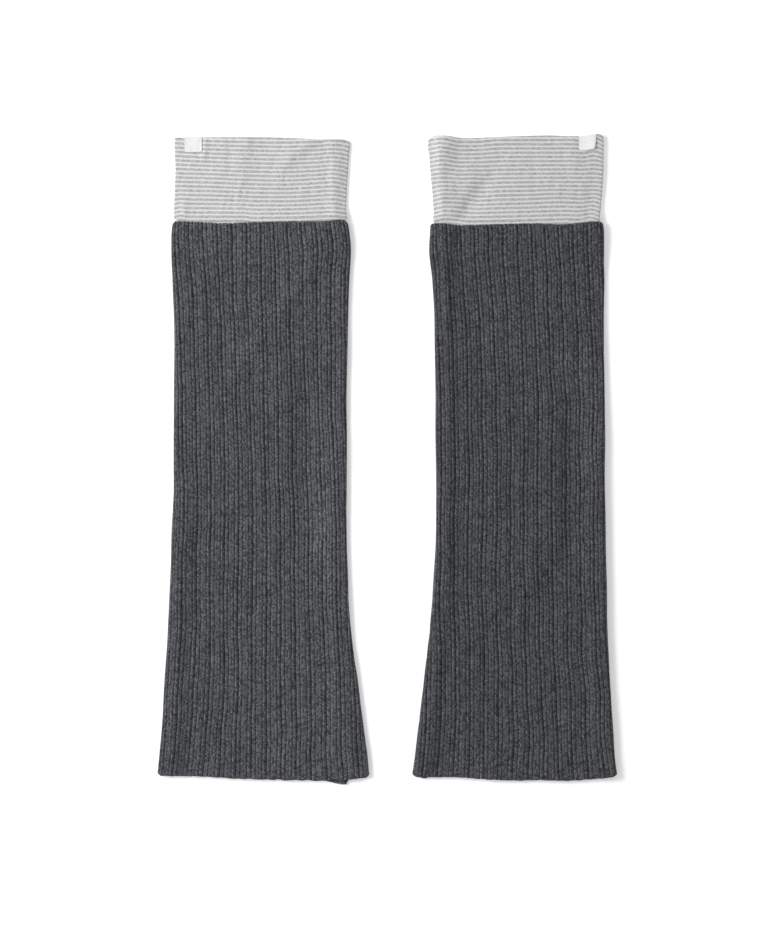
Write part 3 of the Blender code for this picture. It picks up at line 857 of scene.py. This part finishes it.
def tube_relief(leg, numbers, down, rim_turn, hem_line):
    """Depth below the crests. The ribs are deepest outside, fade over the rims and show a little inside."""
    outside = (1 + np.cos(rim_turn)) / 2
    in_hem = smooth_step((down - (hem_line - HEM_FADE_START)) / HEM_FADE)
    share = blend(INSIDE_RIBS, 1, outside) * blend(1, HEM_RIBS, in_hem)
    grooves = rib_depth(numbers) * (1 + unevenness(GROOVE_DEPTHS, leg, numbers * RIB_PITCH, down))
    depth = share * (grooves + unevenness(RIB_HEIGHTS, leg, numbers * RIBS_APART, down))
    from_line = (down - hem_line) / HEM_LINE_WIDTH
    depth = depth + outside * HEM_LINE * np.exp(-(from_line**2))
    from_seam = (numbers - leg.seam + RIB_REPEATS / 2) % RIB_REPEATS - RIB_REPEATS / 2
    return depth + outside * SEAM_DEPTH * np.exp(-((from_seam / SEAM_WIDTH) ** 2))


def tube_run(leg, numbers, down, rings, full, x, turn):
    """y from the mouth, with the waves and notches of the mouth and of the hem's two layers."""
    from_hem = leg.tube[-1].down - down
    across = 2 * (x - rings.centre) / full.width
    below = smooth_step(turn / math.pi)
    upper_hem = edge_out(leg.hem_edge, across) - leg.hem_step
    hem = blend(upper_hem, edge_out(leg.back_hem_edge, across), below)
    near_mouth, near_hem = (np.maximum(1 - run / EDGE_REACH, 0) for run in (down, from_hem))
    y = -down + near_mouth * edge_out(leg.mouth_edge, across) - near_hem * hem
    at_mouth, at_hem = (smooth_step(1 - run / NOTCH_LENGTH) for run in (down, from_hem))
    y = y + (HEM_SCALLOP * at_hem - SCALLOP * at_mouth) * rib_depth(numbers)
    return y + at_hem * unevenness(HEM_WAVES, leg, x, below * LAYERS_APART)


def rib_arcs(leg, rings, numbers, down):
    """Arc distances of rib numbers, counted from the middle groove.

    The repeats that the upper face and the folds leave over are spread evenly underneath.
    """
    ribs, drift = curves(leg.tube, down, "ribs", "drift")
    pitch = rings.width / ribs
    left, right = -rings.fold_end(-1), rings.fold_end(1)
    left_number, right_number = (left - drift) / pitch, (right - drift) / pitch
    numbers = numbers + unevenness(RIB_WANDER, leg, numbers * RIB_PITCH, down)
    under_pitch = (rings.around() - (right - left)) / (RIB_REPEATS - (right_number - left_number))
    beyond_right = right + (numbers - right_number) * under_pitch
    beyond_left = left + (numbers - left_number) * under_pitch
    arc = np.where(numbers < left_number, beyond_left, drift + numbers * pitch)
    return np.where(numbers > right_number, beyond_right, arc)


def loop_distance(position, inset):
    """Distance along the cloth from a wall's first row, once round its section."""
    steps = np.hypot(np.diff(position[:, 0]), np.diff(inset[:, 0]))
    return np.concatenate([[0], np.cumsum(steps)])


def stitch_map(across, along):
    """UVs of a wrapped grid, from a row with the extra column and from columns without the extra row."""
    along = np.concatenate([along, 2 * along[-1:] - along[-2:-1]])
    return np.stack(np.broadcast_arrays(across, along), axis=-1)


def make_cuff(leg, material):
    """The striped cuff, doubled on itself: its cloth turns over the top edge and runs down inside."""
    height = leg.cuff[0].up
    half = CUFF_WALL / 2
    start, end = -TONGUE_LENGTH + half, height - half
    along = list(np.linspace(start, end, math.ceil((end - start) / CUFF_ROW)))
    up, inset, _ = wall_loop(along, lambda _: CUFF_WALL)

    full = cuff_rings(leg, up)
    rings = full.inset(inset)
    shares = np.arange(CUFF_COLUMNS + 1)[None, :] / CUFF_COLUMNS - 0.5
    x, z = cuff_point(leg, rings, rings.on_ring(shares * rings.around()), up)

    across = 2 * (x - rings.centre) / full.width
    near_top = np.maximum(1 - (height - up) / EDGE_REACH, 0)
    y = up + near_top * edge_out(leg.cuff_edge, across)
    # The stripes don't follow the edges: their waves are taken off the height of each point.
    raised = stripe_rise(leg, across, up)
    on_cloth = as_column(up[0, 0] + loop_distance(up, inset))
    rows_up = (on_cloth + (y - up) - raised - leg.first_stripe) / JERSEY_COURSE + WHITE_COURSES / 2
    uvs = stitch_map(shares * full.around()[0] / JERSEY_WALE, rows_up)
    return wrapped_grid(f"{leg.name}_striped_cuff", in_frame(leg, x, y, z), uvs, material)


def cuff_point(leg, rings, arc, up):
    """(x, z) of the cuff's cloth. Its upper face has both the large creases and small upright ones."""
    x, z, _ = rings.point(arc, 0)
    soft = unevenness(CUFF_DIMPLES, leg, x, up) + unevenness(CUFF_CRINKLES, leg, x, CRINKLE_WIDTH * up)
    clear_of_end = smooth_step((up - LIFT_END) / CUFF_CREASE_GROWTH)
    return x, z + rings.face_shares(arc)[0] * clear_of_end * (creased(leg.cuff_creases, x, up) + soft)


def stripe_rise(leg, across, up):
    """How far the stripes are raised, from the waves above and below."""
    waves = sorted(leg.stripe_waves)
    rises = [edge_out(w.points, across) for w in waves]
    total = np.broadcast_to(rises[0], across.shape)
    for below, above, rise, next_rise in zip(waves, waves[1:], rises, rises[1:]):
        share = np.clip((up - below.up) / (above.up - below.up), 0, 1)
        total = total + share * (next_rise - rise)
    return total


# Label

LABEL_WIDTH = 12.4
LABEL_THICKNESS = 0.4
LABEL_BACK = 4  # length inside the cuff
LABEL_CORNER = 1.3
LABEL_ROUNDING = 0.08  # of the tape's own edges
LABEL_SHARP = 50  # degrees, from which an edge is rounded
LABEL_EDGE_STEPS = 2
LABEL_COLUMNS = 41
FRONT_ROWS, BEND_ROWS, BACK_ROWS = 18, 15, 5
LABEL_THREAD = 0.22  # spacing of the tape's threads


def cuff_top(leg, x, up):
    """Height of the cuff's front at distances above the mouth."""
    up = as_column(up)
    rings = cuff_rings(leg, up)
    return cuff_point(leg, rings, x - rings.centre, up)[1][:, 0]


def label_line(leg, share):
    """Points along a label, from its front end over the cuff's edge to its back end.

    share is the line's place across the label: -0.5 at its left side, 0.5 at its right one.
    """
    x = leg.label_x + share * LABEL_WIDTH
    across = 2 * (x - leg.cuff[0].shift) / leg.cuff[0].width
    top = leg.cuff[0].up + float(edge_out(leg.cuff_edge, across))
    in_corner = max(0, (abs(share) - 0.5) * LABEL_WIDTH + LABEL_CORNER)
    rounded = LABEL_CORNER - math.sqrt(LABEL_CORNER**2 - in_corner**2)
    length = blend(leg.label_left, leg.label_right, share + 0.5) - rounded

    half = CUFF_WALL / 2
    below = np.linspace(length, half, FRONT_ROWS + 1)[:-1]
    loose = (share + 0.5) * (below - half) / leg.label_right
    z = cuff_top(leg, x, top - below) + CLEARANCE + leg.label_rise * loose
    front = np.stack([x - leg.label_taper * loose, top - below, z], axis=-1)
    bend = half + CLEARANCE
    middle = cuff_top(leg, x, [top - half])[0] - half
    turns = np.radians(np.linspace(90, -90, BEND_ROWS))
    over = [(x, top - half + bend * math.cos(a), middle + bend * math.sin(a)) for a in turns]
    inside = np.linspace(half, LABEL_BACK, BACK_ROWS + 1)[1:]
    back = [(x, top - depth, middle - bend) for depth in inside]
    return np.concatenate([front, over, back])


def make_label(leg, material):
    """A bare woven tape folded over the top edge of the cuff's front."""
    lines = [label_line(leg, share) for share in np.linspace(-0.5, 0.5, LABEL_COLUMNS)]
    middle = np.array(lines).transpose(1, 0, 2) + [leg.axis, leg.mouth, 0] + frame_shift()
    normals = np.cross(np.gradient(middle, axis=0), np.gradient(middle, axis=1))
    normals /= np.linalg.norm(normals, axis=-1, keepdims=True)
    outer = middle + normals * LABEL_THICKNESS * np.sign(normals[0, 0, 2])
    mesh = bpy.data.meshes.new(f"{leg.name}_woven_label")
    rows, count = middle.shape[:2]
    # Both sides of the tape, as one ring of points for each row across it.
    loop = np.concatenate([outer, middle[:, ::-1]], axis=1)
    ring = 2 * count
    starts = range(0, (rows - 1) * ring, ring)
    sides = [(c, (c + 1) % ring) for c in range(ring)]
    faces = [(r + c, r + k, r + ring + k, r + ring + c) for r in starts for c, k in sides]
    ends = [(c, c + 1, ring - 2 - c, ring - 1 - c) for c in range(count - 1)]
    faces += [quad[::-1] for quad in ends] + [[(rows - 1) * ring + i for i in quad] for quad in ends]
    mesh.from_pydata(metres(loop).reshape(-1, 3).tolist(), [], faces)
    mesh.update()
    uv = mesh.uv_layers.new(name="stitches")
    across = np.linspace(0, LABEL_WIDTH, count)
    across = np.concatenate([across, across[::-1]]) / LABEL_THREAD
    run = np.concatenate([[0], np.cumsum(np.linalg.norm(np.diff(middle[:, 0], axis=0), axis=-1))])
    for loop_item in mesh.loops:
        r, c = divmod(loop_item.vertex_index, ring)
        uv.data[loop_item.index].uv = (across[c], run[r] / LABEL_THREAD)
    piece = piece_of(mesh, material)
    rounding = piece.modifiers.new("edge", "BEVEL")
    rounding.width = LABEL_ROUNDING / MILLIMETRES
    rounding.segments = LABEL_EDGE_STEPS
    rounding.angle_limit = math.radians(LABEL_SHARP)
    return piece


# Materials

CHARCOAL = (0.0845, 0.088, 0.0975)
PALE_FIBRE = (0.24, 0.245, 0.26, 1)
GREY_HEATHER = (0.43, 0.43, 0.44)
JERSEY_WHITE = (0.703, 0.703, 0.708)
TAPE_WHITE = (0.735, 0.745, 0.76)
SHEEN_SPREAD = 0.5
STREAKS_APART = 7.3  # in the noise, so that each wale has its own
STREAK_PACE = 0.03  # steps of the noise to a course
LEG_ROUNDNESS = 2.4  # power of a stitch leg's section: the higher, the squarer


class Look:
    """A material's node tree, with short ways to add nodes."""

    def __init__(self, name):
        self.material = bpy.data.materials.new(name)
        self.material.use_nodes = True
        self.tree = self.material.node_tree
        self.surface = self.tree.nodes["Principled BSDF"]

    def put(self, node, inputs):
        """Gives a node's inputs, by name or number, values or the outputs of other nodes."""
        for key, value in inputs.items():
            if isinstance(value, bpy.types.NodeSocket):
                self.tree.links.new(value, node.inputs[key])
            else:
                node.inputs[key].default_value = value

    def node(self, kind, inputs, output=0, **settings):
        """An output of a new node."""
        made = self.tree.nodes.new("ShaderNode" + kind)
        for name, value in settings.items():
            setattr(made, name, value)
        self.put(made, inputs)
        return made.outputs[output]

    def math(self, operation, *values):
        return self.node("Math", dict(enumerate(values)), operation=operation)

    def product(self, first, *others):
        for value in others:
            first = self.math("MULTIPLY", first, value)
        return first

    def stitches(self):
        """The wale and course numbers of the UV map."""
        uv = self.node("UVMap", {}, uv_map="stitches")
        return [self.node("SeparateXYZ", {0: uv}, axis) for axis in ("X", "Y")]

    def vector(self, x, y):
        return self.node("CombineXYZ", {"X": x, "Y": y})

    def noise(self, vector, scale, detail=2):
        inputs = {"Vector": vector, "Scale": scale, "Detail": detail}
        return self.node("TexNoise", inputs, "Fac")

    def grain(self, scale, detail=2):
        """Noise over the piece itself."""
        return self.noise(self.node("TexCoord", {}, "Object"), scale, detail)

    def chance(self, vector):
        """A random number from 0 to 1 for each whole vector."""
        return self.node("TexWhiteNoise", {"Vector": vector}, "Value", noise_dimensions="3D")

    def spread(self, value, low, high, to_low=0, to_high=1, smooth=False):
        """From to_low to to_high, for a value from low to high."""
        inputs = dict(enumerate((value, low, high, to_low, to_high)))
        way = "SMOOTHSTEP" if smooth else "LINEAR"
        return self.node("MapRange", inputs, interpolation_type=way)

    def vary(self, value, by, low=0.3, high=0.7):
        """From 1 - by to 1 + by, for a value from low to high."""
        return self.spread(value, low, high, 1 - by, 1 + by)

    def mix(self, share, first, second):
        return self.node("Mix", {"Factor": share, 6: first, 7: second}, 2, data_type="RGBA")

    def times(self, colour, value):
        return self.node("VectorMath", {0: colour, "Scale": value}, operation="SCALE")

    def bump(self, height, distance):
        inputs = {"Distance": distance / MILLIMETRES, "Height": height}
        self.put(self.surface, {"Normal": self.node("Bump", inputs)})

    def finish(self, colour, roughness, sheen, specular):
        self.put(self.surface, {"Base Color": colour, "Roughness": roughness, "Sheen Weight": sheen})
        self.put(self.surface, {"Sheen Roughness": SHEEN_SPREAD, "Specular IOR Level": specular})
        return self.material


def knit(look, wale, course, slant):
    """(height, wale index, course index) of plain stitches: two slanting legs in each wale."""

    def off_middle(value):
        return look.math("ABSOLUTE", look.math("MULTIPLY_ADD", value, 2, -1))

    def rounded(value):
        return look.math("SUBTRACT", 1, look.math("POWER", value, LEG_ROUNDNESS))

    from_middle = off_middle(look.math("FRACT", wale))
    slanted = look.math("MULTIPLY_ADD", from_middle, -slant, course)
    across_leg = rounded(off_middle(from_middle))
    along_leg = rounded(off_middle(look.math("FRACT", slanted)))
    height = look.product(across_leg, along_leg)
    return height, look.math("FLOOR", wale), look.math("FLOOR", slanted)


def rib_knit_material(name, painted_yarn_shade):
    """Charcoal melange yarn: each stitch takes its own shade, with pale and dark fibres in it."""
    look = Look(name)
    wale, course = look.stitches()
    height, wale_index, course_index = knit(look, wale, course, slant=0.8)
    leg_index = look.math("FLOOR", look.product(wale, 2))
    shade = look.chance(look.vector(leg_index, course_index))
    fibres = look.grain(scale=1900, detail=3)
    streak = look.vector(look.product(wale_index, STREAKS_APART), look.product(course, STREAK_PACE))
    streaks = look.noise(streak, scale=1)
    patches = look.grain(scale=60, detail=3)
    in_repeat = look.math("DIVIDE", look.math("FLOORED_MODULO", wale, WALES), WALES)
    from_middle = look.math("ABSOLUTE", look.math("SUBTRACT", in_repeat, 0.5))
    from_minor = look.math("ABSOLUTE", look.math("SUBTRACT", from_middle, 0.25))
    # Painted light and shade from the tube's soft bars
    painted_light_shade = look.node("Attribute", {}, "Fac", attribute_name="painted_light_shade")
    light = look.product(
        look.vary(shade, 0.6, 0, 1),
        look.vary(fibres, 0.6, 0.34, 0.66),
        look.vary(streaks, 0.15, 0.25, 0.75),
        look.vary(patches, 0.05),
        # Painted shade between the stitches
        look.spread(height, 0, 0.8, 0.55, 1.08),
        look.spread(from_middle, 0.5, 0.44, 0.42, 1, smooth=True),  # painted shade in the main grooves
        look.spread(from_minor, 0, 0.06, 0.54, 1, smooth=True),  # painted shade in the minor grooves
        look.spread(from_middle, 0, 0.04, 0.85, 1, smooth=True),  # painted shade between the two middle wales
        painted_light_shade,
        # painted shade of the whole tube, for the light on its leg
        painted_yarn_shade,
    )
    flecks = look.spread(look.grain(scale=700, detail=2), 0.66, 0.74, smooth=True)
    grey = look.times(CHARCOAL, light)
    colour = look.mix(look.product(flecks, 0.5), grey, PALE_FIBRE)
    look.bump(look.math("MULTIPLY_ADD", fibres, 0.35, height), distance=0.28)
    return look.finish(colour, roughness=0.95, sheen=0.15, specular=0.15)


def striped_jersey_material():
    """Fine jersey with two white courses and three courses of grey heather in turn."""
    look = Look("striped_jersey")
    wale, course = look.stitches()
    height, wale_index, course_index = knit(look, wale, course, slant=0.7)
    in_repeat = look.math("FLOORED_MODULO", course_index, STRIPE_COURSES)
    is_grey = look.math("GREATER_THAN", in_repeat, WHITE_COURSES - 0.5)
    shade = look.chance(look.vector(wale_index, course_index))
    fibres = look.grain(scale=2600, detail=2)
    blots = look.noise(look.vector(look.product(wale, 0.3), course_index), scale=1)
    heather = look.vary(shade, 0.2, 0, 1)
    heather = look.product(heather, look.vary(fibres, 0.12), look.vary(blots, 0.26))
    pale = look.product(look.vary(fibres, 0.06), look.spread(blots, 0.3, 0.7, 0.92, 1.06))
    grey, white = look.times(GREY_HEATHER, heather), look.times(JERSEY_WHITE, pale)
    colour = look.mix(is_grey, white, grey)
    # Painted shade between the stitches, on the white and the grey
    colour = look.times(colour, look.spread(height, 0, 0.7, 0.82, 1.04))
    look.bump(look.math("MULTIPLY_ADD", fibres, 0.2, height), distance=0.1)
    return look.finish(colour, roughness=0.9, sheen=0.45, specular=0.2)


def woven_tape_material(name, painted_tape_light):
    """White tape woven of fine bright threads, over one and under one."""
    look = Look(name)
    warp, weft = look.stitches()
    halves = [look.product(thread, math.pi) for thread in (warp, weft)]
    waves = [look.math("ABSOLUTE", look.math("SINE", half)) for half in halves]
    crossing = look.math("ADD", look.math("FLOOR", warp), look.math("FLOOR", weft))
    on_top = look.math("FLOORED_MODULO", crossing, 2)
    height = look.node("Mix", {"Factor": on_top, 2: waves[0], 3: waves[1]}, data_type="FLOAT")
    light = look.product(
        # painted shade where a thread dips under the other
        look.spread(height, 0, 0.6, 0.88, 1),
        look.vary(look.grain(scale=1500), 0.04),
        look.vary(look.grain(scale=600), 0.05),
        # painted light or shade of the whole label, for the light on it
        painted_tape_light,
    )
    look.bump(height, distance=0.04)
    return look.finish(look.times(TAPE_WHITE, light), roughness=0.55, sheen=0.1, specular=0.4)


# Stage, in metres but for what the image shows

FLOOR_SIZE = 6
FLOOR_DROP = 0.0001  # below the cloth, so that the two never share a plane
FLOOR_COLOUR = (0.86, 0.86, 0.86, 1)
FLOOR_GLOW = 0.31  # the table is lit a little from below
IMAGE_HEIGHT = 668.3  # millimetres of the surface from top to bottom of the image
VIEW_X, VIEW_Y = 1.97, -6.25  # its middle, in millimetres
CAMERA_HEIGHT = 3.2
CAMERA_REACH = 20
SENSOR = 36  # millimetres
LAMP_DIRECTION = (-1, 0.3, 0.95)
LAMP_DISTANCE = 2.1
LAMP_SIZE = 1.1
LAMP_POWER = 43
ROOM_LIGHT = 0.55


def make_floor():
    bpy.ops.mesh.primitive_plane_add(size=FLOOR_SIZE, location=(0, 0, -FLOOR_DROP))
    floor = bpy.context.object
    floor.name = "floor"
    paint = Look("pale_floor")
    paint.put(paint.surface, {"Emission Color": FLOOR_COLOUR, "Emission Strength": FLOOR_GLOW})
    floor.data.materials.append(paint.finish(FLOOR_COLOUR, roughness=1, sheen=0, specular=0))


def make_camera():
    """Straight down, from so far that the view is nearly parallel."""
    data = bpy.data.cameras.new("camera")
    data.sensor_width = SENSOR
    data.lens = SENSOR * CAMERA_HEIGHT / (IMAGE_HEIGHT / MILLIMETRES)
    data.clip_end = CAMERA_REACH
    camera = linked("camera", data)
    camera.location = (VIEW_X / MILLIMETRES, VIEW_Y / MILLIMETRES, CAMERA_HEIGHT)
    bpy.context.scene.camera = camera


def make_lights():
    """A large soft lamp at the left and a white room."""
    key = bpy.data.lights.new("key", "AREA")
    key.shape = "DISK"
    key.size = LAMP_SIZE
    key.energy = LAMP_POWER
    lamp = linked("key", key)
    direction = mathutils.Vector(LAMP_DIRECTION).normalized()
    lamp.location = direction * LAMP_DISTANCE
    lamp.rotation_euler = direction.to_track_quat("Z", "Y").to_euler()
    world = bpy.data.worlds.new("studio")
    world.use_nodes = True
    background = world.node_tree.nodes["Background"].inputs
    background["Color"].default_value = (1, 1, 1, 1)
    background["Strength"].default_value = ROOM_LIGHT
    bpy.context.scene.world = world
    bpy.context.scene.view_settings.view_transform = "Standard"


# The pair

striped_jersey = striped_jersey_material()
make_floor()

for leg in (LEFT_LEG, RIGHT_LEG):
    tube = make_tube(leg, rib_knit_material(f"{leg.name}_rib_knit", leg.painted_tube_shade))
    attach(tube, "root")
    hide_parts(f"{leg.name}_tube")
    stretches = zip(leg.tube, leg.tube[1:])
    cut = sum((a.width + b.width) * (b.down - a.down) for a, b in stretches) / MILLIMETRES**2

    cuff = make_cuff(leg, striped_jersey)
    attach(cuff, "root")
    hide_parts(f"{leg.name}_cuff")

    label = make_label(leg, woven_tape_material(f"{leg.name}_woven_tape", leg.painted_label_light))
    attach(label, "root")
    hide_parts(f"{leg.name}_label")

make_camera()
make_lights()
